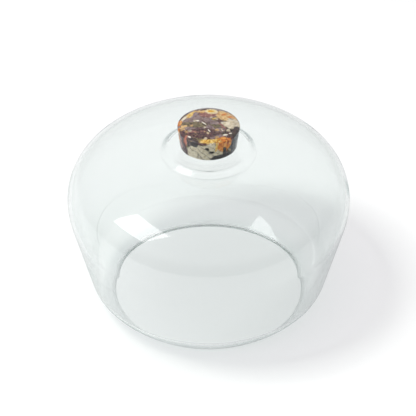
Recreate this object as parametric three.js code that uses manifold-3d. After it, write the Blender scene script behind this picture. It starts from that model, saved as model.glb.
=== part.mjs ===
// Glass cake dome with a bolted-on round knob.
// Units are millimetres and +Z is up. The origin is the centre of the rim, on the plane that the
// dome stands on. Every piece is a solid of revolution about the Z axis, apart from the screw's
// cross recess.

import * as THREE from 'three';
import { mergeVertices } from 'three/addons/utils/BufferGeometryUtils.js';
import Module from 'manifold-3d';

// ---------------------------------------------------------------- driving dimensions

const DEG = Math.PI / 180;

const GLASS_THICKNESS = 3.2;

// The outside of the glass, from the rim up.
const RIM_OUTER_R = 99.4;          // where the turned-in foot meets the plane z = 0
const RIM_CORNER_R = 0.5;          // small polished corners either side of the ground rim
const FOOT_SLOPE = 44 * DEG;       // rise of the foot above the horizontal, at the rim
const FOOT_PULL = 19;              // reach of the foot curve's lower handle
const BEND_PULL = 6;               // reach of its upper handle
const WALL_FLARE = 13.7 * DEG;     // lean of the wall away from the vertical
const WALL_BOTTOM = { r: 119.98, z: 26.0 };
const WALL_LENGTH = 73.9;
const SHOULDER_PULL = 54.5;        // reach of the shoulder curve's lower handle
const TOP_PULL = 51.5;             // reach of its upper handle
const TOP_Z = 171.8;               // height of the glass where the boss begins

// The raised boss in the middle of the top.
const BOSS_FOOT_R = 47.4;
const BOSS_EDGE_R = 39.6;
const BOSS_RISE = 4.6;
const BOSS_FLAT_R = 30;
const BOSS_CROWN = 1.2;            // extra height of the flat over the boss's edge
const UNDER_BOSS_R = 37.5;         // the underside follows the boss with a softer step
const UNDER_BOSS_RISE = 4.2;
const HOLE_R = 6.5;

// The knob.
const KNOB_BOTTOM_R = 27.9;
const KNOB_TOP_R = 30.2;
const KNOB_SIDE_H = 20.6;
const KNOB_BEVEL_R = 23.5;
const KNOB_BEVEL_H = 3.6;
const KNOB_CROWN = 0.9;

// The fastening.
const TOUCH = 0.3;                 // clearance left between pieces that touch
const GASKET_OUTER_R = 22;
const GASKET_INNER_R = 7;
const GASKET_H = 1.2;
const GROMMET_FLANGE_R = 10.5;
const GROMMET_FLANGE_H = 1.6;
const GROMMET_NECK_H = 4;
const WASHER_R = 9;
const WASHER_H = 1.2;
const SCREW_CREST_R = 2.5;         // M5
const SCREW_ROOT_R = 2.05;
const SCREW_PITCH = 0.8;
const SCREW_THREADS = 13;
const SCREW_HEAD_R = 4.75;
const SCREW_HEAD_H = 3.2;
const RECESS_ARM = 2.6;
const RECESS_W = 1.1;
const RECESS_DEPTH = 1.8;
const SHANK_CLEARANCE = 0.35;
const INSERT_R = 4.5;
const INSERT_FLANGE_R = 6;
const INSERT_FLANGE_H = 1.2;
const INSERT_H = 14;
const INSERT_BORE_R = 2.58;

// Facets round each piece of revolution, and steps along the curves of the glass.
const GLASS_SEGMENTS = 64;
const KNOB_SEGMENTS = 40;
const SMALL_SEGMENTS = 20;
const OUTSIDE_STEPS = { foot: 6, shoulder: 12 };
const INSIDE_STEPS = { foot: 4, shoulder: 8 };

// ---------------------------------------------------------------- heights worked out from them

const BOSS_TOP_Z = TOP_Z + BOSS_RISE + BOSS_CROWN;
const UNDER_TOP_Z = TOP_Z - GLASS_THICKNESS;
const GLASS_UNDERSIDE_Z = UNDER_TOP_Z + UNDER_BOSS_RISE;
const GASKET_Z = BOSS_TOP_Z + TOUCH;
const KNOB_Z = GASKET_Z + GASKET_H + TOUCH;
const GROMMET_Z = GLASS_UNDERSIDE_Z - TOUCH - GROMMET_FLANGE_H;
const WASHER_Z = GROMMET_Z - TOUCH - WASHER_H;
const SCREW_HEAD_Z = WASHER_Z - TOUCH - SCREW_HEAD_H;

// ---------------------------------------------------------------- helpers

// Points of a cubic Bezier between two [r, z] points, without its first point.
function bezier(a, b, c, d, steps) {
  const curve = new THREE.CubicBezierCurve(
    new THREE.Vector2(...a), new THREE.Vector2(...b), new THREE.Vector2(...c), new THREE.Vector2(...d),
  );
  return curve.getPoints(steps).slice(1).map((p) => [p.x, p.y]);
}

// A point at a distance from another, in the direction given above the horizontal.
function along([r, z], angle, distance) {
  return [r + distance * Math.cos(angle), z + distance * Math.sin(angle)];
}

// The same outline moved sideways by a distance, to its left as it is walked.
function offset(outline, distance) {
  return outline.map((point, i) => {
    const before = outline[Math.max(i - 1, 0)];
    const after = outline[Math.min(i + 1, outline.length - 1)];
    const dr = after[0] - before[0];
    const dz = after[1] - before[1];
    const length = Math.hypot(dr, dz);
    return [point[0] - (distance * dz) / length, point[1] + (distance * dr) / length];
  });
}

// A closed ring or a solid turned about Z from an outline of [r, z] points, anticlockwise as seen
// with r to the right and z up. An outline that doesn't touch the axis closes on itself.
function turned(outline, segments) {
  const touchesAxis = outline[0][0] === 0;
  const points = touchesAxis ? outline : [...outline, outline[0]];
  const lathe = new THREE.LatheGeometry(points.map(([r, z]) => new THREE.Vector2(r, z)), segments);
  lathe.rotateX(Math.PI / 2);
  lathe.deleteAttribute('normal');
  lathe.deleteAttribute('uv');
  return solid(mergeVertices(lathe, 1e-4));
}

// The geometry without the triangles that have no area, such as those at a lathe's poles.
function solid(geometry) {
  const index = geometry.getIndex().array;
  const kept = [];
  for (let i = 0; i < index.length; i += 3) {
    const [a, b, c] = [index[i], index[i + 1], index[i + 2]];
    if (a !== b && b !== c && c !== a) {
      kept.push(a, b, c);
    }
  }
  geometry.setIndex(kept);
  return geometry;
}

function node(name, geometry, color, roughness, metalness, opacity = 1) {
  const material = new THREE.MeshStandardMaterial({
    color, roughness, metalness, opacity, transparent: opacity < 1,
  });
  geometry.computeVertexNormals();
  const mesh = new THREE.Mesh(geometry, material);
  mesh.name = name;
  return mesh;
}

// ---------------------------------------------------------------- glass dome

// The outside of the glass from the bottom of the foot to the foot of the boss.
function shellOutside(steps) {
  const flareUp = 90 * DEG - WALL_FLARE;
  const footBottom = along([RIM_OUTER_R, 0], FOOT_SLOPE, 2 * RIM_CORNER_R);
  const wallBottom = [WALL_BOTTOM.r, WALL_BOTTOM.z];
  const wallTop = along(wallBottom, flareUp, WALL_LENGTH);
  return [
    footBottom,
    ...bezier(
      footBottom,
      along(footBottom, FOOT_SLOPE, FOOT_PULL),
      along(wallBottom, flareUp, -BEND_PULL),
      wallBottom,
      steps.foot,
    ),
    along(wallBottom, flareUp, WALL_LENGTH / 2),
    wallTop,
    ...bezier(
      wallTop,
      along(wallTop, flareUp, SHOULDER_PULL),
      [BOSS_FOOT_R + TOP_PULL, TOP_Z],
      [BOSS_FOOT_R, TOP_Z],
      steps.shoulder,
    ),
  ];
}

// The step up onto the boss and its gently crowned top, from the foot of the boss inwards.
function bossOutside() {
  const foot = [BOSS_FOOT_R, TOP_Z];
  const edge = [BOSS_EDGE_R, TOP_Z + BOSS_RISE];
  return [
    ...bezier(foot, [foot[0] - 3.4, foot[1]], [edge[0] + 3.4, edge[1] - 0.5], edge, 5),
    ...bezier(edge, [edge[0] - 3.5, edge[1] + 0.5], [BOSS_FLAT_R + 3, BOSS_TOP_Z], [BOSS_FLAT_R, BOSS_TOP_Z], 2),
    [HOLE_R, BOSS_TOP_Z],
  ];
}

// The underside of the boss, from the hole outwards.
function bossInside() {
  const edge = [UNDER_BOSS_R, GLASS_UNDERSIDE_Z];
  const foot = [BOSS_FOOT_R, UNDER_TOP_Z];
  return [
    [HOLE_R, GLASS_UNDERSIDE_Z],
    edge,
    ...bezier(edge, [edge[0] + 4.5, edge[1]], [foot[0] - 4.5, foot[1]], foot, 5).slice(0, -1),
  ];
}

function glassDome() {
  const outside = shellOutside(OUTSIDE_STEPS);
  const inside = offset(shellOutside(INSIDE_STEPS), GLASS_THICKNESS);
  const rimInner = inside[0][0] - inside[0][1] / Math.tan(FOOT_SLOPE);
  const outline = [
    [rimInner + 2 * RIM_CORNER_R, 0],
    [RIM_OUTER_R - RIM_CORNER_R, 0],
    ...bezier([RIM_OUTER_R - RIM_CORNER_R, 0], [RIM_OUTER_R, 0], [RIM_OUTER_R, 0], outside[0], 3),
    ...outside.slice(1),
    ...bossOutside(),
    ...bossInside(),
    ...inside.slice(1).reverse(),
    along([rimInner, 0], FOOT_SLOPE, 4 * RIM_CORNER_R),
  ];
  return turned(outline, GLASS_SEGMENTS);
}

// ---------------------------------------------------------------- knob and its insert

function knob() {
  const top = KNOB_Z + KNOB_SIDE_H;
  const pocket = KNOB_Z + INSERT_H + 2 * TOUCH;
  const outline = [
    [0, pocket],
    [INSERT_R + TOUCH, pocket],
    [INSERT_R + TOUCH, KNOB_Z + INSERT_FLANGE_H + 2 * TOUCH],
    [INSERT_FLANGE_R + TOUCH, KNOB_Z + INSERT_FLANGE_H + 2 * TOUCH],
    [INSERT_FLANGE_R + TOUCH, KNOB_Z],
    [KNOB_BOTTOM_R - 0.9, KNOB_Z],
    ...bezier([KNOB_BOTTOM_R - 0.9, KNOB_Z], [KNOB_BOTTOM_R - 0.3, KNOB_Z], [KNOB_BOTTOM_R, KNOB_Z + 0.3],
      [KNOB_BOTTOM_R + 0.1, KNOB_Z + 1], 3),
    [KNOB_TOP_R, top - 0.8],
    ...bezier([KNOB_TOP_R, top - 0.8], [KNOB_TOP_R, top - 0.3], [KNOB_TOP_R - 0.2, top], [KNOB_TOP_R - 0.8, top + 0.3], 3),
    ...bezier([KNOB_TOP_R - 0.8, top + 0.3], [KNOB_BEVEL_R + 2.5, top + KNOB_BEVEL_H - 1.2],
      [KNOB_BEVEL_R + 1.5, top + KNOB_BEVEL_H], [KNOB_BEVEL_R, top + KNOB_BEVEL_H], 4),
    [KNOB_BEVEL_R / 2, top + KNOB_BEVEL_H + 0.75 * KNOB_CROWN],
    [0, top + KNOB_BEVEL_H + KNOB_CROWN],
  ];
  return turned(outline, KNOB_SEGMENTS);
}

function threadedInsert() {
  const bottom = KNOB_Z + TOUCH;
  const outline = [
    [INSERT_BORE_R, bottom],
    [INSERT_FLANGE_R, bottom],
    [INSERT_FLANGE_R, bottom + INSERT_FLANGE_H - TOUCH],
    [INSERT_R - 0.5, bottom + INSERT_FLANGE_H - TOUCH],
    [INSERT_R, bottom + INSERT_FLANGE_H + 0.5],
    [INSERT_R, bottom + INSERT_H - 0.8],
    [INSERT_R - 0.8, bottom + INSERT_H],
    [INSERT_BORE_R, bottom + INSERT_H],
  ];
  return turned(outline, SMALL_SEGMENTS);
}

// ---------------------------------------------------------------- gasket, grommet, washer

// A flat ring whose outer corners are rounded.
function ring(innerR, outerR, bottom, height, corner, segments) {
  const top = bottom + height;
  return turned([
    [innerR, bottom],
    [outerR - corner, bottom],
    [outerR, bottom + corner],
    [outerR, top - corner],
    [outerR - corner, top],
    [innerR, top],
  ], segments);
}

// A flange under the glass with a neck that stands up into the hole.
function holeGrommet() {
  const bore = SCREW_CREST_R + SHANK_CLEARANCE;
  const flangeTop = GROMMET_Z + GROMMET_FLANGE_H;
  const neckTop = flangeTop + GROMMET_NECK_H;
  return turned([
    [bore, GROMMET_Z],
    [GROMMET_FLANGE_R - 0.5, GROMMET_Z],
    [GROMMET_FLANGE_R, GROMMET_Z + 0.5],
    [GROMMET_FLANGE_R, flangeTop - 0.4],
    [GROMMET_FLANGE_R - 0.4, flangeTop],
    [HOLE_R - TOUCH, flangeTop],
    [HOLE_R - TOUCH, neckTop - 0.5],
    [HOLE_R - TOUCH - 0.5, neckTop],
    [bore, neckTop],
  ], SMALL_SEGMENTS);
}

// ---------------------------------------------------------------- screw

// Pan head below, plain shank, then thread ridges one pitch apart up to a chamfered tip.
function knobScrew() {
  const shankZ = SCREW_HEAD_Z + SCREW_HEAD_H;
  const tipZ = KNOB_Z + INSERT_H - 1.5;
  const threadZ = tipZ - SCREW_THREADS * SCREW_PITCH;
  const outline = [
    [0, SCREW_HEAD_Z],
    [SCREW_HEAD_R - 1.4, SCREW_HEAD_Z],
    ...bezier([SCREW_HEAD_R - 1.4, SCREW_HEAD_Z], [SCREW_HEAD_R - 0.5, SCREW_HEAD_Z + 0.2],
      [SCREW_HEAD_R, SCREW_HEAD_Z + 0.8], [SCREW_HEAD_R, SCREW_HEAD_Z + 1.6], 4),
    [SCREW_HEAD_R, shankZ],
    [SCREW_CREST_R, shankZ],
    [SCREW_CREST_R, threadZ],
  ];
  for (let i = 0; i < SCREW_THREADS; i += 1) {
    const z = threadZ + i * SCREW_PITCH;
    outline.push([SCREW_ROOT_R, z + 0.4 * SCREW_PITCH], [SCREW_ROOT_R, z + 0.5 * SCREW_PITCH]);
    outline.push([SCREW_CREST_R, z + 0.95 * SCREW_PITCH]);
  }
  outline.push([SCREW_ROOT_R - 0.3, tipZ + 0.8], [0, tipZ + 0.8]);
  return turned(outline, SMALL_SEGMENTS);
}

// One arm pair of the cross recess, as a bar that reaches below the head.
function recessBar(turn) {
  const bar = new THREE.BoxGeometry(2 * RECESS_ARM, RECESS_W, 2 * RECESS_DEPTH);
  bar.rotateZ(turn);
  bar.translate(0, 0, SCREW_HEAD_Z);
  bar.deleteAttribute('normal');
  bar.deleteAttribute('uv');
  return mergeVertices(bar, 1e-4);
}

const wasm = await Module();
wasm.setup();

function toManifold(geometry) {
  const vertProperties = new Float32Array(geometry.getAttribute('position').array);
  const triVerts = new Uint32Array(geometry.getIndex().array);
  return new wasm.Manifold(new wasm.Mesh({ numProp: 3, vertProperties, triVerts }));
}

function fromManifold(body) {
  const mesh = body.getMesh();
  const geometry = new THREE.BufferGeometry();
  geometry.setAttribute('position', new THREE.BufferAttribute(new Float32Array(mesh.vertProperties), 3));
  geometry.setIndex(new THREE.BufferAttribute(new Uint32Array(mesh.triVerts), 1));
  return geometry;
}

function recessedScrew() {
  const cross = toManifold(recessBar(0)).add(toManifold(recessBar(Math.PI / 2)));
  return fromManifold(toManifold(knobScrew()).subtract(cross));
}

// ---------------------------------------------------------------- the assembly

const dome = new THREE.Group();

dome.add(node('glass_dome', glassDome(), 0xe4edea, 0.03, 0, 0.3));
dome.add(node('knob', knob(), 0x5b4046, 0.15, 0));
dome.add(node('threaded_insert', threadedInsert(), 0xb8924a, 0.35, 1));
dome.add(node('knob_gasket', ring(GASKET_INNER_R, GASKET_OUTER_R, GASKET_Z, GASKET_H, 0.4, 32), 0xdfe3e0, 0.5, 0));
dome.add(node('hole_grommet', holeGrommet(), 0xdfe3e0, 0.5, 0));
dome.add(node('steel_washer',
  ring(SCREW_CREST_R + SHANK_CLEARANCE, WASHER_R, WASHER_Z, WASHER_H, 0.2, SMALL_SEGMENTS), 0xb9bcc0, 0.3, 1));
dome.add(node('knob_screw', recessedScrew(), 0xb9bcc0, 0.3, 1));

export default dome;
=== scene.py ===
import math

import bmesh
import bpy
import numpy as np
from mathutils import Matrix, Vector, noise


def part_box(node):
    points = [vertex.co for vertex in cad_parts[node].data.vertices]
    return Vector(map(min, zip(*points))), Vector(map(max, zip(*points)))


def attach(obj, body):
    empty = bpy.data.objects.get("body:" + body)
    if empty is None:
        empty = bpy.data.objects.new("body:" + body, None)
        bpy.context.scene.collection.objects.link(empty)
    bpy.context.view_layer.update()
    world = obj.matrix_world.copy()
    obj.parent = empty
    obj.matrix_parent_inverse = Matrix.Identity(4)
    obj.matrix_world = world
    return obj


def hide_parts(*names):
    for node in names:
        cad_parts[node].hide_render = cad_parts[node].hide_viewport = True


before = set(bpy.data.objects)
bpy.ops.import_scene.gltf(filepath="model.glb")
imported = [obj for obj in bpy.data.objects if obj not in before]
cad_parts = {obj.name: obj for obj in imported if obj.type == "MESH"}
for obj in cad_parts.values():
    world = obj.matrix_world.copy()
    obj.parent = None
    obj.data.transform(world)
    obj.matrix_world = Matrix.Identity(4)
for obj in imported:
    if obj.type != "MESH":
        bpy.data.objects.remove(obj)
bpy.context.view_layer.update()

# Lengths below are in millimetres, as in the part, and meshes are made in metres.
MM = 0.001

# The glass, from the rim up the outside to the top.
GLASS_THICKNESS = 3.2
RIM_OUTER_R = 99.4
LIP_R = 1.5
FOOT_SLOPE = math.radians(44)
FOOT_PULL = 19.0
BEND_PULL = 6.0
WALL_FLARE = math.radians(13.7)
WALL_BOTTOM = (119.98, 26.0)
WALL_LENGTH = 73.9
SHOULDER_PULL = 54.5
TOP_PULL = 51.5
TOP_Z = 171.8

# The boss, as (radius, height) from its foot up to its flat, and the glass under it.
BOSS_FOOT_R = 47.4
BOSS_FILLET_END = (46.4, 172.35)
BOSS_SLOPE_END = (42.2, 175.2)
BOSS_CROWN = (38.4, 176.75)
BOSS_FLAT_R = 30.0
BOSS_TOP_Z = 177.6
HOLE_R = 6.5
HOLE_EDGE = 0.4
UNDER_Z = 172.8
UNDER_FLAT_R = 37.5

KNOB_BOTTOM_R = 27.9
KNOB_TOP_R = 30.2
KNOB_BEVEL_R = 23.5
KNOB_BEVEL_BOTTOM = 4.5
KNOB_BEVEL_TOP = 0.9
POCKET_R = 4.8
POCKET_DEPTH = 14.6
POCKET_FLANGE_R = 6.3
POCKET_FLANGE_DEPTH = 1.8

THREAD_PITCH = 0.8
THREAD_ROOT = 2.05
THREAD_CREST = 2.5
SCREW_HOLE_R = 2.85
HEAD_R = 4.75
HEAD_HEIGHT = 3.2
THREAD_LENGTH = 12.6


# ---------------------------------------------------------------- shapes


def bezier(a, b, c, d, n):
    """Points along a cubic curve, without the first."""
    t = np.linspace(0, 1, n + 1)[1:, None]
    a, b, c, d = (np.array(p, float) for p in (a, b, c, d))
    points = (1 - t) ** 3 * a + 3 * (1 - t) ** 2 * t * b + 3 * (1 - t) * t * t * c + t**3 * d
    return [tuple(p) for p in points]


def along(p, angle, d):
    """The point at a distance d from p in a direction."""
    return (p[0] + d * math.cos(angle), p[1] + d * math.sin(angle))


def line(a, b, n):
    """Points from a to b, without the first."""
    return [(a[0] + (b[0] - a[0]) * k / n, a[1] + (b[1] - a[1]) * k / n) for k in range(1, n + 1)]


def corner(before, at, after, r, n=6):
    """A rounded corner at a point of a profile, with its two tangent points."""
    u = Vector(before) - Vector(at)
    v = Vector(after) - Vector(at)
    start = Vector(at) + u.normalized() * min(r, u.length * 0.49)
    end = Vector(at) + v.normalized() * min(r, v.length * 0.49)
    mid_a = start.lerp(Vector(at), 0.58)
    mid_b = end.lerp(Vector(at), 0.58)
    return [tuple(start)] + bezier(start, mid_a, mid_b, end, n)


def rounded(points, r):
    """A closed profile of straight sides with its corners rounded."""
    made = []
    n = len(points)
    for i, p in enumerate(points):
        made += corner(points[i - 1], p, points[(i + 1) % n], r)
    return made


def offset(points, d):
    """The profile moved to its left by d."""
    moved = []
    for i, p in enumerate(points):
        a = points[max(i - 1, 0)]
        b = points[min(i + 1, len(points) - 1)]
        dr, dz = b[0] - a[0], b[1] - a[1]
        length = math.hypot(dr, dz)
        moved.append((p[0] - d * dz / length, p[1] + d * dr / length))
    return moved


def new_object(name, verts, faces, smooth=True):
    mesh = bpy.data.meshes.new(name)
    mesh.from_pydata([tuple(v) for v in verts], [], faces)
    mesh.validate()
    if smooth:
        mesh.polygons.foreach_set("use_smooth", [True] * len(mesh.polygons))
    mesh.update()
    obj = bpy.data.objects.new(name, mesh)
    bpy.context.scene.collection.objects.link(obj)
    return obj


def lathe(name, profile, steps, shape=None):
    """Turns a profile of (radius, height) round the z axis. One with its ends on the axis is closed there."""
    capped = profile[0][0] < 1e-6
    rings = profile[1:-1] if capped else profile
    verts = []
    for k in range(steps):
        a = 2 * math.pi * k / steps
        verts += [(r * math.cos(a), r * math.sin(a), z) for r, z in rings]
    m = len(rings)
    faces = []
    for k in range(steps):
        k2 = (k + 1) % steps
        for j in range(m - 1 if capped else m):
            j2 = (j + 1) % m
            faces.append((k * m + j, k2 * m + j, k2 * m + j2, k * m + j2))
    if capped:
        verts += [(0, 0, profile[0][1]), (0, 0, profile[-1][1])]
        for k in range(steps):
            k2 = (k + 1) % steps
            faces.append((len(verts) - 2, k2 * m, k * m))
            faces.append((len(verts) - 1, k * m + m - 1, k2 * m + m - 1))
    if shape:
        verts = [shape(Vector(v)) for v in verts]
    return new_object(name, [Vector(v) * MM for v in verts], faces)


def cut(obj, tool):
    """Takes the tool's shape out of the piece, and the tool with it."""
    change = obj.modifiers.new("cut", "BOOLEAN")
    change.operation = "DIFFERENCE"
    change.solver = "EXACT"
    change.object = tool
    graph = bpy.context.evaluated_depsgraph_get()
    made = bpy.data.meshes.new_from_object(obj.evaluated_get(graph))
    obj.modifiers.clear()
    obj.data = made
    bpy.data.objects.remove(tool)


def join(first, second):
    """Adds the second piece's mesh to the first's."""
    bm = bmesh.new()
    bm.from_mesh(first.data)
    bm.from_mesh(second.data)
    bm.to_mesh(first.data)
    bm.free()
    bpy.data.objects.remove(second)


def crisp(obj, angle=32):
    """Smooth faces with the edges sharper than the angle left sharp."""
    obj.data.polygons.foreach_set("use_smooth", [True] * len(obj.data.polygons))
    obj.data.set_sharp_from_angle(angle=math.radians(angle))
    return obj


# ---------------------------------------------------------------- the glass


def outside_profile():
    """The outside of the glass, from the lip up the foot, the flared wall and the shoulder to the boss."""
    upright = math.radians(90) - WALL_FLARE
    foot_start = along((RIM_OUTER_R, 0), FOOT_SLOPE, LIP_R * 1.2)
    foot_pull = along(foot_start, FOOT_SLOPE, FOOT_PULL)
    bend_pull = along(WALL_BOTTOM, upright, -BEND_PULL)
    wall_end = along(WALL_BOTTOM, upright, WALL_LENGTH)
    shoulder_pull = along(wall_end, upright, SHOULDER_PULL)
    points = [foot_start]
    points += bezier(foot_start, foot_pull, bend_pull, WALL_BOTTOM, 22)
    points += line(WALL_BOTTOM, wall_end, 8)
    points += bezier(wall_end, shoulder_pull, (BOSS_FOOT_R + TOP_PULL, TOP_Z), (BOSS_FOOT_R, TOP_Z), 60)
    return points


def boss_profile():
    """The boss from its foot: a fillet, a slope, and a crown that eases onto the flat round the hole."""
    points = bezier((BOSS_FOOT_R, TOP_Z), (BOSS_FOOT_R - 0.4, TOP_Z), (46.8, 172.05), BOSS_FILLET_END, 8)
    points += line(BOSS_FILLET_END, BOSS_SLOPE_END, 8)
    points += bezier(BOSS_SLOPE_END, (41.0, 176.05), (40.3, 176.5), BOSS_CROWN, 14)
    points += bezier(BOSS_CROWN, (35.4, 177.15), (33, BOSS_TOP_Z), (BOSS_FLAT_R, BOSS_TOP_Z), 10)
    points += line((BOSS_FLAT_R, BOSS_TOP_Z), (HOLE_R + HOLE_EDGE, BOSS_TOP_Z), 4)
    return points


def under_profile():
    """Down the hole and out under the boss to the inside of the top."""
    under_z = TOP_Z - GLASS_THICKNESS
    hole_foot = (HOLE_R + HOLE_EDGE, UNDER_Z)
    flat_end = (UNDER_FLAT_R, UNDER_Z)
    points = [(HOLE_R, BOSS_TOP_Z - HOLE_EDGE), (HOLE_R, UNDER_Z + HOLE_EDGE), hole_foot]
    points += line(hole_foot, flat_end, 4)
    points += bezier(flat_end, (41.0, UNDER_Z), (42.6, under_z), (BOSS_FOOT_R, under_z), 20)[:-1]
    return points


def dome_profile():
    """The whole section of the glass, closed, from the flat of the rim round the outside and back inside."""
    outer = outside_profile()
    inner = offset(outer, GLASS_THICKNESS)
    rim_inner_r = inner[0][0] - inner[0][1] / math.tan(FOOT_SLOPE)
    rim_start = (RIM_OUTER_R - LIP_R, 0)
    rim_end = (rim_inner_r + LIP_R, 0)
    lip = bezier(rim_start, (RIM_OUTER_R - 0.3, 0), (RIM_OUTER_R, 0.2), outer[0], 8)
    inner_start = along((rim_inner_r, 0), FOOT_SLOPE, LIP_R)
    inner_lip = bezier(inner_start, (rim_inner_r, 0.2), (rim_inner_r + 0.3, 0), rim_end, 8)
    outside = [rim_start] + lip + outer[1:] + boss_profile()
    return outside + under_profile() + inner[1:][::-1] + [inner_start] + inner_lip


# ---------------------------------------------------------------- the knob and what holds it


def knob_profile(low, high):
    """A stepped pocket for the insert, then the outside up to a bevelled and slightly domed top."""
    side_z = high - KNOB_BEVEL_BOTTOM
    crown_z = high - KNOB_BEVEL_TOP
    step_z = low + POCKET_FLANGE_DEPTH
    profile = [(0, low + POCKET_DEPTH), (POCKET_R, low + POCKET_DEPTH), (POCKET_R, step_z)]
    profile += [(POCKET_FLANGE_R, step_z), (POCKET_FLANGE_R, low)]
    profile += line((POCKET_FLANGE_R, low), (KNOB_BOTTOM_R - 1.0, low), 6)
    profile += bezier(
        (KNOB_BOTTOM_R - 1.0, low),
        (KNOB_BOTTOM_R - 0.3, low),
        (KNOB_BOTTOM_R, low + 0.3),
        (KNOB_BOTTOM_R + 0.1, low + 1.0),
        5,
    )
    profile += line((KNOB_BOTTOM_R + 0.1, low + 1.0), (KNOB_TOP_R - 0.1, side_z - 0.9), 22)
    profile += bezier(
        (KNOB_TOP_R - 0.1, side_z - 0.9),
        (KNOB_TOP_R, side_z),
        (KNOB_TOP_R - 0.3, side_z + 0.3),
        (KNOB_TOP_R - 1.0, side_z + 0.7),
        6,
    )
    profile += line((KNOB_TOP_R - 1.0, side_z + 0.7), (KNOB_BEVEL_R + 0.7, crown_z - 0.4), 8)
    profile += bezier(
        (KNOB_BEVEL_R + 0.7, crown_z - 0.4),
        (KNOB_BEVEL_R, crown_z),
        (KNOB_BEVEL_R - 0.6, crown_z + 0.1),
        (KNOB_BEVEL_R - 1.4, crown_z + 0.1),
        5,
    )
    profile += bezier((KNOB_BEVEL_R - 1.4, crown_z + 0.1), (15, high - 0.35), (8, high), (0, high), 16)
    return profile


def knob_shape(low, high):
    """The stone is cut by hand: its sides wander, and its top edge has a few flats and one small notch."""
    # The sides wander by these, slowly and finely. Each flat has its bearing from the front, reach and tilt.
    slow_wander, fine_wander = 0.35, 0.10
    flats = [(-118, 36.2, 30), (-146, 36.0, 24), (-70, 37.6, 40), (74, 37.4, 30), (150, 37.8, 34)]
    flat_centre = Vector((0, 0, high - 19))
    notch_bearing, notch_reach, notch_r = math.radians(-152), 25.5, 3.6
    out = Vector((math.sin(notch_bearing), -math.cos(notch_bearing), 0))
    notch = out * notch_reach + Vector((0, 0, high - 1.6))
    notch_way = (out * 0.6 + Vector((0, 0, 0.8))) * 1.9

    def moved(v):
        p = v.copy()
        wander = noise.noise(Vector((p.x, p.y, p.z * 0.6)) * 0.07) * slow_wander
        wander += noise.noise(Vector((p.x, p.y, p.z)) * 0.22 + Vector((7, 3, 1))) * fine_wander
        r = math.hypot(p.x, p.y)
        if r > 1:
            grow = 1 + wander / max(r, 12)
            p.x *= grow
            p.y *= grow
        for bearing, reach, rise in flats:
            a = math.radians(bearing)
            e = math.radians(rise)
            n = Vector((math.sin(a) * math.cos(e), -math.cos(a) * math.cos(e), math.sin(e)))
            over = (p - flat_centre).dot(n) - reach * 0.93
            if over > 0:
                p -= n * over * 0.75
        d = (p - notch).length
        if d < notch_r and p.z > low + 5:
            p -= notch_way * (1 - (d / notch_r) ** 2) ** 2
        return p

    return moved


def knurled(v):
    """Fine ridges round the side of the insert, so that it holds in the stone."""
    ridges, height, twist = 24, 0.035, 0.9
    r = math.hypot(v.x, v.y)
    if r < 4.3 or r > 5.0:
        return v
    k = 1 + height * math.cos(ridges * math.atan2(v.y, v.x) + v.z * twist)
    return Vector((v.x * k, v.y * k, v.z))


def turned_insert(low, high):
    """A flange below, a groove above it, and a knurled body with a plain bore."""
    bore, body, flange, edge = THREAD_CREST + 0.08, 4.5, 6.0, 0.2
    profile = [(bore, low + edge), (bore + edge, low)]
    profile += line((bore + edge, low), (flange - edge, low), 3)
    profile += bezier((flange - edge, low), (flange, low), (flange, low), (flange, low + edge), 4)
    profile += [(flange, low + 0.7), (flange - edge, low + 0.9), (4.1, low + 0.9), (4.0, low + 1.1)]
    profile += [(body, low + 1.7)] + line((body, low + 1.7), (body, high - 0.8), 16)
    profile += [(3.8, high - 0.05), (3.7, high), (bore + edge, high), (bore, high - edge)]
    return crisp(lathe("insert_turned", profile, 144, knurled))


def flat_ring(name, inner, outer, low, high, edge, steps):
    """A flat ring with rounded edges."""
    return lathe(name, rounded([(inner, low), (outer, low), (outer, high), (inner, high)], edge), steps)


def moulded_grommet(low, high):
    """A soft ring whose neck lines the hole in the glass."""
    inner, neck, outer, shoulder = SCREW_HOLE_R, 6.2, 10.5, low + 1.6
    profile = [(inner, low), (outer, low), (outer, shoulder), (neck, shoulder), (neck, high), (inner, high)]
    return lathe("grommet_moulded", rounded(profile, 0.5), 120)


def thread(name, bottom, top):
    """A threaded shank: one ridge that winds up the rod, and fades out at both ends."""
    round_steps, turn_steps = 48, 8
    fade_in, fade_out = 1.2, 0.9
    levels = int((top - bottom) / THREAD_PITCH * turn_steps)
    verts, faces = [], []
    for i in range(levels + 1):
        z = bottom + (top - bottom) * i / levels
        fade = min(1.0, (z - bottom) / fade_in, (top - z) / fade_out)
        for k in range(round_steps):
            a = 2 * math.pi * k / round_steps
            phase = (z / THREAD_PITCH - k / round_steps) % 1.0
            ridge = max(0.0, 1 - abs(phase - 0.5) * 2 * 1.15) ** 0.9
            r = THREAD_ROOT - 0.25 * (1 - fade) + (THREAD_CREST - THREAD_ROOT) * ridge * max(fade, 0)
            verts.append((r * math.cos(a), r * math.sin(a), z))
    for i in range(levels):
        for k in range(round_steps):
            k2 = (k + 1) % round_steps
            base = i * round_steps
            faces.append((base + k, base + k2, base + round_steps + k2, base + round_steps + k))
    faces.append(tuple(range(round_steps))[::-1])
    faces.append(tuple(levels * round_steps + k for k in range(round_steps)))
    return new_object(name, [Vector(v) * MM for v in verts], faces)


def recess_bar(z, arm, width, depth, turn):
    """One bar of the cross that a screwdriver fits, narrowing as it goes in."""
    verts = []
    for reach, half, level in ((arm, width / 2, z - 0.6), (arm * 0.55, width * 0.38, z + depth)):
        for x, y in ((-reach, -half), (reach, -half), (reach, half), (-reach, half)):
            c, n = math.cos(turn), math.sin(turn)
            verts.append(Vector((x * c - y * n, x * n + y * c, level)) * MM)
    faces = [(3, 2, 1, 0), (4, 5, 6, 7)] + [(k, (k + 1) % 4, 4 + (k + 1) % 4, 4 + k) for k in range(4)]
    return new_object("recess", verts, faces, False)


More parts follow.
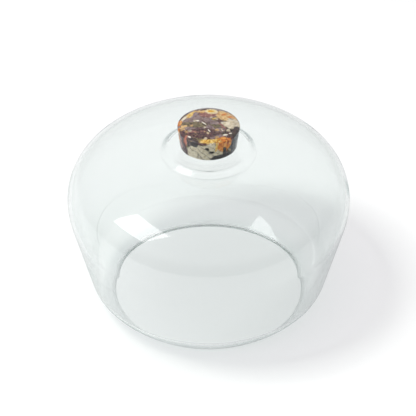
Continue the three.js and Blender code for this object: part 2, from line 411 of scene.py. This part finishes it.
def turned_screw(low, high):
    """A pan head below with a cross recess, a plain neck, and a helical thread up to a chamfered tip."""
    neck_r, neck_z, neck_edge = THREAD_CREST, high - THREAD_LENGTH + 0.8, 0.4
    top_z = low + HEAD_HEIGHT
    side_z = low + 2.9
    profile = [(0, low), (1.6, low), (3.2, low)]
    profile += bezier((3.2, low), (4.2, low + 0.15), (HEAD_R, low + 0.8), (HEAD_R, low + 1.7), 10)
    profile += line((HEAD_R, low + 1.7), (HEAD_R, side_z), 2)
    shoulder = [(HEAD_R, side_z), (HEAD_R, low + 3.15), (HEAD_R - 0.05, top_z), (HEAD_R - 0.3, top_z)]
    profile += bezier(*shoulder, 4)
    profile += [(neck_r, top_z), (neck_r, neck_z)]
    profile += [(neck_r - 0.3, neck_z + neck_edge), (0, neck_z + neck_edge)]
    screw = lathe("knob_screw_turned", profile, 96)
    arm, width, depth = 2.6, 1.1, 1.8
    for turn in (0, math.pi / 2):
        cut(screw, recess_bar(low, arm, width, depth, turn))
    join(screw, thread("shank", high - THREAD_LENGTH, high))
    return crisp(screw)


# ---------------------------------------------------------------- materials


def rgb(*levels):
    """A screen colour of three levels, 0 to 255, as the linear colour that the shaders take."""
    curve = [((c / 255 + 0.055) / 1.055) ** 2.4 if c > 10 else c / 255 / 12.92 for c in levels]
    return tuple(curve) + (1.0,)


BLACK = (0.0, 0.0, 0.0, 1)


class Nodes:
    """Short names for the nodes that a material or a world is made of."""

    def __init__(self, tree, output):
        self.tree = tree
        self.tree.nodes.clear()
        self.out = self.node(output)

    def node(self, kind, inputs=None, **props):
        n = self.tree.nodes.new(kind)
        for key, value in props.items():
            setattr(n, key, value)
        for key, value in (inputs or {}).items():
            self.set(n.inputs[key], value)
        return n

    def set(self, socket, value):
        if isinstance(value, bpy.types.NodeSocket):
            self.tree.links.new(value, socket)
        else:
            socket.default_value = value

    def axis(self, vector, index):
        """One of the three numbers of a vector or a colour."""
        return self.node("ShaderNodeSeparateXYZ", {0: vector}).outputs[index]

    def math(self, operation, a, b=0.0):
        return self.node("ShaderNodeMath", {0: a, 1: b}, operation=operation).outputs[0]

    def times(self, a, b):
        return self.math("MULTIPLY", a, b)

    def span(self, value, a, b, to_a=0.0, to_b=1.0):
        """Value from a to b, eased onto to_a to to_b."""
        ends = {"Value": value, "From Min": a, "From Max": b, "To Min": to_a, "To Max": to_b}
        return self.node("ShaderNodeMapRange", ends, interpolation_type="SMOOTHSTEP").outputs[0]

    def band(self, value, a, b, c, d):
        """1 from b to c, easing to 0 at a and at d."""
        return self.times(self.span(value, a, b), self.span(value, d, c))

    def near(self, value, at, reach, level):
        """Level where the value is at a number, and 0 from reach away."""
        away = self.math("ABSOLUTE", self.math("SUBTRACT", value, at))
        return self.span(away, reach, 0.0, 0.0, level)

    def mix(self, factor, a, b, blend="MIX"):
        n = self.node("ShaderNodeMix", data_type="RGBA", blend_type=blend)
        self.set(n.inputs[0], factor)
        self.set(n.inputs[6], a)
        self.set(n.inputs[7], b)
        return n.outputs[2]

    def shaders(self, factor, a, b):
        """Shader a where the factor is 0, and b where it is 1."""
        return self.node("ShaderNodeMixShader", {0: factor, 1: a.outputs[0], 2: b.outputs[0]})

    def finish(self, shader):
        self.tree.links.new(shader.outputs[0], self.out.inputs["Surface"])


class Paint(Nodes):
    """A material, with the textures that it is made of."""

    def __init__(self, name):
        self.material = bpy.data.materials.new(name)
        self.material.use_nodes = True
        super().__init__(self.material.node_tree, "ShaderNodeOutputMaterial")

    def place(self, scale=1000.0):
        """Object coordinates, in millimetres unless told otherwise."""
        return self.scaled(self.node("ShaderNodeTexCoord").outputs["Object"], (scale,) * 3)

    def scaled(self, vector, scale):
        return self.node("ShaderNodeMapping", {"Vector": vector, "Scale": scale}).outputs[0]

    def noise(self, vector, scale, detail=3.0, roughness=0.5, distortion=0.0, colour=False):
        inputs = {"Vector": vector, "Scale": scale, "Detail": detail, "Roughness": roughness}
        n = self.node("ShaderNodeTexNoise", {**inputs, "Distortion": distortion})
        return n.outputs["Color" if colour else "Fac"]

    def warp(self, vector, scale, amount, detail=2.0):
        """The place moved about by a noise, up to half of amount each way."""
        jump = self.noise(vector, scale, detail, colour=True)
        centred = self.vector_math("SUBTRACT", {0: jump, 1: (0.5, 0.5, 0.5)})
        moved = self.vector_math("SCALE", {0: centred, "Scale": amount})
        return self.vector_math("ADD", {0: vector, 1: moved})

    def vector_math(self, operation, inputs):
        return self.node("ShaderNodeVectorMath", inputs, operation=operation).outputs[0]

    def cells(self, vector, scale, **props):
        """A field of broken pieces."""
        inputs = {"Vector": vector, "Scale": scale, "Randomness": 1.0}
        return self.node("ShaderNodeTexVoronoi", inputs, **props)

    def tones(self, value, *stops):
        """A scale of screen colours, each given as its place from 0 to 1 and then its red, green and blue."""
        n = self.node("ShaderNodeValToRGB", {0: value})
        elements = n.color_ramp.elements
        while len(elements) < len(stops):
            elements.new(0.5)
        for e, (at, *colour) in zip(elements, stops):
            e.position = at
            e.color = rgb(*colour)
        return n.outputs[0]

    def blob(self, vector, centre, size, soft=0.25, turn=0.0):
        """1 inside an ellipsoid and 0 outside it, and the distance in its own radii."""
        inputs = {"Vector": vector, "Location": centre, "Rotation": (0, 0, math.radians(turn)), "Scale": size}
        local = self.node("ShaderNodeMapping", inputs, vector_type="TEXTURE").outputs[0]
        d = self.node("ShaderNodeVectorMath", {0: local}, operation="LENGTH").outputs["Value"]
        return self.span(d, 1 + soft, 1 - soft), d

    def bump(self, height, strength, distance):
        inputs = {"Height": height, "Strength": strength, "Distance": distance}
        return self.node("ShaderNodeBump", inputs).outputs[0]

    def principled(self, **inputs):
        return self.node("ShaderNodeBsdfPrincipled", {k.replace("_", " "): v for k, v in inputs.items()})

    def finish(self, shader):
        super().finish(shader)
        return self.material


def glass_material():
    p = Paint("clear_glass")
    where = p.place()
    height = p.axis(where, 2)
    slant = p.node("ShaderNodeLayerWeight", {"Blend": 0.5}).outputs["Facing"]
    # At a slant more glass is looked through, and the foot looks clearer.
    tint = p.mix(p.span(slant, 0.66, 1.0), (0.925, 0.944, 0.938, 1), (0.78, 0.815, 0.81, 1))
    # Painted dark reflection: where the boss's side is seen at a slant, the glass is painted much darker.
    painted_reflection_band = p.band(height, 172.3, 173.3, 175.9, 176.9)
    tint = p.mix(p.times(painted_reflection_band, p.span(slant, 0.42, 0.75)), tint, (0.40, 0.46, 0.46, 1))
    # The lip is ground.
    glass = p.principled(
        Base_Color=p.mix(p.span(height, 34.0, 10.0), tint, (0.985, 0.992, 0.99, 1)),
        Roughness=p.span(height, 0.3, 1.6, 0.50, 0.0),
        IOR=1.5,
        Transmission_Weight=1.0,
        Normal=p.bump(p.noise(where, 0.018, 1.0), 0.10, 0.004),
    )
    # Lamps and bounced light reach what is behind the glass, less of them through the high top than the low
    # wall, and less of a lamp's where it crosses at a slant or through the lip.
    level = p.span(height, 90.0, 172.0, 0.94, 0.82)
    room_level = p.span(height, 90.0, 172.0, 0.96, 0.84)
    edge = p.times(p.span(slant, 0.55, 1.0, 0.0, 0.95), p.span(height, 90.0, 120.0))
    lip = p.span(height, 0.5, 3.0, 0.95, 1.0)
    lamp_share = p.times(p.times(p.math("SUBTRACT", 1.0, edge), lip), level)
    lamp_tint = p.mix(lamp_share, BLACK, (1.0, 0.985, 1.0, 1))
    room_tint = p.mix(room_level, BLACK, (0.965, 1.0, 0.985, 1))
    lamp = p.node("ShaderNodeBsdfTransparent", {"Color": lamp_tint})
    bounced = p.node("ShaderNodeBsdfTransparent", {"Color": room_tint})
    path = p.node("ShaderNodeLightPath")
    seen = p.shaders(path.outputs["Is Diffuse Ray"], glass, bounced)
    depth = p.node("ShaderNodeVolumeAbsorption", {"Color": (0.56, 0.72, 0.69, 1), "Density": 6.0})
    p.tree.links.new(depth.outputs[0], p.out.inputs["Volume"])
    return p.finish(p.shaders(path.outputs["Is Shadow Ray"], seen, lamp))


class StonePaint(Paint):
    """The knob's stone: the same grain runs through every colour in it."""

    def __init__(self):
        super().__init__("marbled_stone")
        self.where = self.place()
        self.soft = self.warp(self.where, 0.10, 7.0, 3.0)
        self.fine = self.warp(self.warp(self.soft, 0.32, 3.2, 3.0), 1.1, 0.9, 2.0)
        self.grain = self.noise(self.fine, 0.42, 6.0, 0.66, 0.9)
        self.height = self.axis(self.where, 2)
        self.on_top = self.span(self.height, 197.0, 201.0)
        self.make_colours()

    def make_colours(self):
        grain = self.grain
        drip = self.noise(self.scaled(self.fine, (1, 1, 0.22)), 0.42, 5.0, 0.6, 0.6)
        self.cream = self.tones(
            grain, (0.30, 150, 134, 116), (0.42, 208, 196, 168), (0.56, 236, 228, 208), (0.7, 214, 208, 192)
        )
        self.tan = self.tones(
            grain,
            (0.30, 122, 72, 42),
            (0.42, 198, 146, 84),
            (0.54, 234, 206, 148),
            (0.66, 216, 158, 92),
            (0.76, 240, 226, 190),
        )
        self.gold = self.tones(
            grain, (0.30, 128, 62, 34), (0.42, 214, 148, 42), (0.54, 238, 206, 108), (0.66, 232, 214, 170)
        )
        self.mauve = self.tones(
            grain, (0.28, 70, 50, 58), (0.44, 134, 114, 122), (0.58, 166, 150, 154), (0.72, 124, 96, 102)
        )
        self.olive = self.tones(
            grain, (0.30, 52, 44, 36), (0.46, 104, 96, 74), (0.62, 146, 138, 104), (0.75, 92, 80, 66)
        )
        self.plum = self.tones(
            grain,
            (0.28, 28, 18, 22),
            (0.44, 66, 42, 50),
            (0.56, 104, 72, 80),
            (0.66, 58, 34, 40),
            (0.78, 96, 62, 68),
        )
        self.rose = self.tones(grain, (0.30, 92, 44, 48), (0.5, 170, 112, 110), (0.7, 206, 164, 156))
        self.coal = self.tones(grain, (0.3, 20, 18, 20), (0.5, 52, 48, 50), (0.7, 86, 80, 82))
        self.slate = self.tones(
            drip, (0.3, 40, 42, 48), (0.46, 84, 88, 96), (0.6, 54, 56, 62), (0.74, 124, 130, 134)
        )
        self.amber = self.tones(
            drip,
            (0.28, 104, 46, 26),
            (0.42, 190, 96, 38),
            (0.52, 226, 138, 52),
            (0.62, 240, 186, 96),
            (0.74, 244, 224, 176),
        )

    def patches(self, colour, rows):
        """Patches of the stone, each given as its colour, centre, radii, softness and turn."""
        for own, centre, size, soft_edge, turn in rows:
            colour = self.mix(self.blob(self.fine, centre, size, soft_edge, turn)[0], colour, own)
        return colour

    def ground(self):
        """Broken pieces of plum, mauve, olive and charcoal."""
        pick = self.cells(self.fine, 0.10).outputs["Color"]
        c = self.mix(self.span(self.axis(pick, 0), 0.52, 0.56), self.plum, self.mauve)
        c = self.mix(self.span(self.axis(pick, 1), 0.74, 0.78), c, self.olive)
        return self.mix(self.span(self.axis(pick, 2), 0.80, 0.84), c, self.coal)

    def top_face(self, c):
        """The dark middle of the top, with small broken pieces of ochre, plum and cream strewn over it."""
        rows = (
            (self.mauve, (-15, 8, 204), (10, 7, 6), 0.12, -10),
            (self.olive, (-15, -3, 204), (14, 4.2, 5), 0.12, -8),
            (self.plum, (-6, -16, 204), (17, 7, 5), 0.12, 0),
            (self.rose, (-13, -14, 204), (10, 1.4, 5), 0.12, 4),
            (self.mauve, (3, 4, 204), (9, 7, 5), 0.12, 0),
            (self.olive, (7, 6, 204), (4.6, 3.6, 4), 0.12, 0),
            (self.rose, (-1, 13, 204), (8, 4.5, 4), 0.12, 0),
            (self.plum, (12, 1, 204), (2.6, 8, 5), 0.12, 25),
            (self.rose, (14, -6, 204), (1.2, 7, 5), 0.12, 40),
            (self.mauve, (11, -12, 204), (5, 4, 5), 0.12, 0),
        )
        c = self.patches(c, rows)
        bits = self.cells(self.fine, 0.24)
        inside = self.span(bits.outputs["Distance"], 0.50, 0.40)
        for index, low, own in ((0, 0.84, self.tan), (1, 0.85, self.plum), (2, 0.90, self.cream)):
            chosen = self.span(self.axis(bits.outputs["Color"], index), low, low + 0.03)
            c = self.mix(self.times(self.times(chosen, inside), 0.85), c, own)
        return self.mix(self.span(self.grain, 0.25, 0.62, 1.0, 0.5), c, (0.62, 0.58, 0.53, 1), "MULTIPLY")

    def top_edge(self, c):
        """The pale pieces round the edge of the top, and the ringed eye at its back."""
        rows = (
            (self.tan, (17, 12, 203), (11, 8.5, 5), 0.12, -20),
            (self.amber, (15, 15, 203), (4, 2.2, 5), 0.4, 30),
            (self.amber, (21, 10, 203), (2.4, 2.4, 5), 0.5, 0),
            (self.cream, (24, 0, 203), (9, 8, 5), 0.12, 30),
            (self.cream, (17, -3, 203), (6, 3.4, 5), 0.12, -30),
            (self.gold, (6.5, 6.5, 204), (2.4, 1.4, 3), 0.12, 20),
            (self.gold, (-17, 15, 202), (11, 3.0, 5), 0.12, 38),
            (self.mauve, (-13, 14, 203), (5, 2.0, 5), 0.3, 38),
            (self.tan, (-4, 18, 204), (7, 2.2, 4), 0.12, 10),
            (self.cream, (-24, 8, 202), (2.4, 6, 3), 0.12, -30),
            (self.amber, (-28, 3, 200), (3.2, 4.5, 5), 0.12, 0),
            (self.tan, (-25, -5, 202), (5, 1.8, 2.5), 0.12, 15),
        )
        c = self.patches(c, rows)
        ring, eye = self.blob(self.soft, (2.1, 18.4, 204), (5.6, 4.2, 5), 0.08)
        rings = self.tones(
            eye, (0.10, 206, 130, 20), (0.34, 236, 186, 52), (0.6, 242, 226, 160), (0.9, 226, 208, 176)
        )
        return self.mix(ring, c, rings)

    def side(self, c):
        """The side, from the left round to the right, and the gold line along its front edge."""
        inputs = {"Vector": self.where, "Scale": 0.085, "Distortion": 9.0}
        inputs.update({"Detail": 4.0, "Detail Scale": 0.9, "Detail Roughness": 0.6})
        marble = self.node("ShaderNodeTexWave", inputs, bands_direction="DIAGONAL")
        veined = self.span(marble.outputs["Fac"], 0.16, 0.0, 0.0, 0.75)
        pale = self.mix(veined, self.cream, rgb(118, 112, 108))
        rows = (
            (pale, (-4, -28, 186), (21, 13, 11.5), 0.06, 0),
            (self.plum, (-25, -15, 191), (5, 7, 12), 0.12, 0),
            (self.amber, (-29, -9, 194), (2.6, 4.5, 9), 0.12, 0),
            (self.rose, (-27.5, -13, 190), (1.4, 3, 8), 0.12, 0),
            (rgb(208, 122, 98), (-21.5, -19, 197), (1.8, 2.4, 6), 0.3, 0),
            (self.coal, (-14.5, -26, 199), (5.4, 5, 4.8), 0.12, 0),
            (pale, (5, -29, 195), (10, 5, 6.4), 0.12, 0),
            (self.coal, (-1, -30, 194), (1.6, 3, 2.4), 0.4, 0),
            (self.coal, (3, -30, 190), (2.6, 3, 1.8), 0.4, 30),
            (self.amber, (15.5, -25, 196), (8, 8, 9), 0.12, 0),
            (self.gold, (7.5, -29, 196), (1.6, 4, 6), 0.12, 0),
            (self.coal, (15, -26, 187), (2.8, 5, 6), 0.12, 0),
            (self.coal, (14, -24, 182), (14, 9, 3.6), 0.12, 10),
            (self.slate, (28, -14, 190), (8.5, 11, 13), 0.06, 0),
            (self.coal, (26.5, -10, 201.6), (5, 10, 2.4), 0.1, -30),
        )
        c = self.patches(c, rows)
        edge_line = self.band(self.height, 200.4, 201.2, 202.3, 203.0)
        front = self.blob(self.fine, (3, -28, 201), (11, 7, 6), 0.2)[0]
        return self.mix(self.times(edge_line, front), c, self.gold)

    def veins(self, c):
        """Dark seams, and grey, ochre and pink veins."""
        grey = self.noise(self.warp(self.where, 0.12, 12.0, 3.0), 0.30, 2.0, 0.5, 2.4)
        c = self.mix(self.near(grey, 0.5, 0.016, 0.50), c, rgb(74, 60, 62))
        ochre = self.noise(self.warp(self.where, 0.16, 9.0, 3.0), 0.26, 3.0, 0.5, 1.6)
        c = self.mix(self.times(self.near(ochre, 0.56, 0.014, 0.75), self.on_top), c, rgb(206, 168, 112))
        pink = self.noise(self.warp(self.fine, 0.2, 6.0, 2.0), 0.34, 3.0, 0.5, 1.0)
        c = self.mix(self.times(self.near(pink, 0.44, 0.020, 0.6), self.on_top), c, rgb(120, 56, 60))
        seam = self.cells(self.fine, 0.16, feature="DISTANCE_TO_EDGE").outputs[0]
        return self.mix(self.times(self.span(seam, 0.045, 0.0, 0.0, 0.7), self.on_top), c, rgb(44, 28, 32))

    def flecks_and_glints(self, c):
        """A few bright spots, painted glints that partly stand for pale flecks in the stone, each given as
        its centre, radii and turn.
        """
        for spot, size, turn in (
            ((-10.5, 3.1, 204), (1.5, 1.2, 3), 0),
            ((-4.4, -1.4, 204), (3.2, 0.6, 3), -48),
            ((0.5, -13, 204), (2.2, 0.6, 3), -60),
            ((16, -18.4, 203), (2.6, 0.8, 2), 22),
            ((21, -15, 203), (1.8, 0.6, 2), 30),
            ((-18.4, -19.9, 202), (1.8, 0.7, 2), -40),
            ((13, -12, 204), (1.6, 0.5, 3), -50),
        ):
            c = self.mix(self.blob(self.where, spot, size, 0.25, turn)[0], c, rgb(236, 230, 216))
        return c


def stone_material():
    p = StonePaint()
    c = p.ground()
    for layer in (p.top_face, p.top_edge, p.side, p.veins, p.flecks_and_glints):
        c = layer(c)
    stone = p.principled(
        Base_Color=p.mix(p.span(p.grain, 0.2, 0.8, 1.0, 0.6), c, (0.76, 0.74, 0.70, 1), "MULTIPLY"),
        Roughness=p.span(p.grain, 0.2, 0.8, 0.12, 0.26),
        IOR=1.45,
        Coat_Weight=0.2,
        Coat_Roughness=0.05,
        Normal=p.bump(p.grain, 0.10, 0.0004),
    )
    return p.finish(stone)


def metal_material(name, colour, dark, roughness, grain_scale):
    p = Paint(name)
    where = p.place()
    turned = p.noise(p.scaled(where, (1, 1, 9)), grain_scale, 4.0, 0.6)
    cloud = p.noise(where, 0.25, 3.0)
    metal = p.principled(
        Base_Color=p.mix(p.span(cloud, 0.35, 0.7), dark, colour),
        Metallic=1.0,
        Roughness=p.span(turned, 0.3, 0.7, roughness * 0.8, roughness * 1.3),
        Normal=p.bump(turned, 0.12, 0.0001),
    )
    return p.finish(metal)


def silicone_material():
    p = Paint("clear_silicone")
    cloud = p.noise(p.place(), 0.3, 3.0)
    silicone = p.principled(
        Base_Color=p.mix(cloud, (0.80, 0.83, 0.82, 1), (0.90, 0.92, 0.91, 1)),
        Roughness=p.span(cloud, 0.3, 0.7, 0.28, 0.40),
        IOR=1.41,
        Transmission_Weight=0.75,
    )
    clear = p.node("ShaderNodeBsdfTransparent", {"Color": (0.93, 0.93, 0.93, 1)})
    path = p.node("ShaderNodeLightPath")
    return p.finish(p.shaders(path.outputs["Is Shadow Ray"], silicone, clear))


def floor_material():
    p = Paint("white_floor")
    cloud = p.noise(p.place(1.0), 6.0, 3.0)
    floor = p.principled(
        Base_Color=p.mix(cloud, (0.895, 0.893, 0.897, 1), (0.905, 0.903, 0.907, 1)),
        Roughness=0.85,
        Specular_IOR_Level=0.1,
    )
    # The floor's own reflection in what shines is the weaker one of a floor out of the lamp's full light.
    dim = p.node("ShaderNodeBsdfDiffuse", {"Color": (0.60, 0.605, 0.61, 1)})
    path = p.node("ShaderNodeLightPath")
    mirrored = p.math("SUBTRACT", path.outputs["Is Glossy Ray"], path.outputs["Is Transmission Ray"])
    return p.finish(p.shaders(mirrored, floor, dim))


def give(obj, material):
    """One material over the whole piece."""
    obj.data.materials.clear()
    obj.data.materials.append(material)


# ---------------------------------------------------------------- the pieces


def place_piece(obj, node, body, material):
    give(obj, material)
    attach(obj, body)
    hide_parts(node)


def heights(node):
    """The bottom and the top of a node of the part."""
    low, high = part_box(node)
    return low.z / MM, high.z / MM


brass = metal_material("brass", rgb(226, 186, 108), rgb(196, 150, 76), 0.26, 1.2)
steel = metal_material("steel", rgb(206, 208, 212), rgb(172, 176, 182), 0.24, 1.6)
silicone = silicone_material()

dome = lathe("dome_glass", dome_profile(), 288)
place_piece(dome, "glass_dome", "dome", glass_material())

span_z = heights("knob")
knob = crisp(lathe("knob_stone", knob_profile(*span_z), 240, knob_shape(*span_z)), 50)
place_piece(knob, "knob", "dome", stone_material())

insert = turned_insert(*heights("threaded_insert"))
place_piece(insert, "threaded_insert", "dome", brass)

gasket = flat_ring("gasket_ring", 7, 22, *heights("knob_gasket"), 0.45, 144)
place_piece(gasket, "knob_gasket", "dome", silicone)

grommet = moulded_grommet(*heights("hole_grommet"))
place_piece(grommet, "hole_grommet", "dome", silicone)

washer = crisp(flat_ring("washer_stamped", SCREW_HOLE_R, 9, *heights("steel_washer"), 0.22, 120), 60)
place_piece(washer, "steel_washer", "washer", steel)

screw = turned_screw(*heights("knob_screw"))
place_piece(screw, "knob_screw", "screw", steel)

# The photo shows no shadow of the knob or its fastening on the floor, and no knob mirrored in the glass.
for piece in (knob, insert, gasket, grommet, washer, screw):
    piece.visible_shadow = False
knob.visible_glossy = False

# ---------------------------------------------------------------- floor, light and camera

# From here on, lengths are in metres.
FLOOR_Z = -0.0004
FLOOR_HALF_WIDTH = 4
FLOOR_FRONT_Y = -5
FLOOR_BACK_Y = 5
TABLE_EDGE_Y = -0.68
LIGHT_DISTANCE = 2.6
LIGHT_ACROSS = (0.32, -0.94, 0.10)
LAMP_TOWARD = (-0.43, -0.09, 0.895)
LAMP_SIZE = 0.8
LAMP_POWER = 47
WINDOW_TOWARD = (-0.614, -0.131, 0.778)
WINDOW_HALF_WIDTH = 0.66
WINDOW_HALF_HEIGHT = 0.63
WINDOW_GLOW = 4.2
AMBIENT = 0.66
CAMERA_PLACE = (-0.00055, -1.55724, 1.33744)
CAMERA_DOWN = math.radians(38.49)
FOCAL_LENGTH_MM = 173.08


def plane(name, x0, x1, y0, y1, z):
    return new_object(name, [(x0, y0, z), (x1, y0, z), (x1, y1, z), (x0, y1, z)], [(0, 1, 2, 3)], False)


def facing(toward, distance, across, target=(0, 0, 0.1)):
    """The matrix of something flat that faces the target from a direction, its width along across."""
    back = Vector(toward).normalized()
    side = Vector(across)
    side = (side - back * side.dot(back)).normalized()
    up = back.cross(side)
    place = Vector(target) + back * distance
    return Matrix([(side[i], up[i], back[i], place[i]) for i in range(3)] + [(0, 0, 0, 1)])


def window_material():
    p = Paint("window")
    return p.finish(p.node("ShaderNodeEmission", {"Color": (1, 1, 1, 1), "Strength": WINDOW_GLOW}))


def room_world():
    """An even light all round, and for what shines a room that is dark low down on the camera's side."""
    world = bpy.data.worlds.new("room")
    world.cycles.sampling_method = "NONE"
    world.use_nodes = True
    n = Nodes(world.node_tree, "ShaderNodeOutputWorld")
    direction = n.node("ShaderNodeTexCoord").outputs["Generated"]
    camera_side = n.span(n.axis(direction, 1), 0.5, -0.35, 0.2)
    low_down = n.span(n.axis(direction, 2), 0.55, 0.05)
    colour = n.mix(n.times(camera_side, low_down), (0.86, 0.875, 0.875, 1), (0.28, 0.29, 0.29, 1))
    path = n.node("ShaderNodeLightPath")
    shiny = n.math("MAXIMUM", path.outputs["Is Glossy Ray"], path.outputs["Is Transmission Ray"])
    ambient = n.node("ShaderNodeBackground", {0: (1, 1, 1, 1), 1: AMBIENT})
    room = n.node("ShaderNodeBackground", {0: colour})
    n.finish(n.shaders(shiny, ambient, room))
    return world


# For the eye alone the floor goes on past the table's edge: what shines sees the room there.
floor = plane("floor", -FLOOR_HALF_WIDTH, FLOOR_HALF_WIDTH, TABLE_EDGE_Y, FLOOR_BACK_Y, FLOOR_Z)
apron = plane("floor_front", -FLOOR_HALF_WIDTH, FLOOR_HALF_WIDTH, FLOOR_FRONT_Y, TABLE_EDGE_Y, FLOOR_Z)
apron.visible_glossy = False
apron.visible_transmission = False
floor_paint = floor_material()
for part in (floor, apron):
    give(part, floor_paint)

lamp = bpy.data.lights.new("key_light", "AREA")
lamp.shape = "RECTANGLE"
lamp.size = LAMP_SIZE
lamp.size_y = LAMP_SIZE
lamp.energy = LAMP_POWER
key = bpy.data.objects.new("key_light", lamp)
bpy.context.scene.collection.objects.link(key)
key.matrix_world = facing(LAMP_TOWARD, LIGHT_DISTANCE, LIGHT_ACROSS)
key.visible_camera = False
key.visible_glossy = False
key.visible_transmission = False

# What shines sees this window, which is dimmer than the lamp has to be.
window = plane("window", -WINDOW_HALF_WIDTH, WINDOW_HALF_WIDTH, -WINDOW_HALF_HEIGHT, WINDOW_HALF_HEIGHT, 0)
window.matrix_world = facing(WINDOW_TOWARD, LIGHT_DISTANCE, LIGHT_ACROSS)
give(window, window_material())
for ray in ("camera", "diffuse", "shadow", "volume_scatter"):
    setattr(window, "visible_" + ray, False)

lens = bpy.data.cameras.new("camera")
lens.sensor_width = 36
lens.lens = FOCAL_LENGTH_MM
lens.clip_end = 50
camera = bpy.data.objects.new("camera", lens)
camera.location = CAMERA_PLACE
camera.rotation_euler = (math.radians(90) - CAMERA_DOWN, 0, 0)
bpy.context.scene.collection.objects.link(camera)

scene = bpy.context.scene
scene.camera = camera
scene.world = room_world()
scene.view_settings.view_transform = "Standard"
scene.cycles.max_bounces = 64
scene.cycles.glossy_bounces = 64
scene.cycles.transmission_bounces = 64
scene.cycles.transparent_max_bounces = 24
scene.cycles.caustics_reflective = False
scene.cycles.caustics_refractive = False
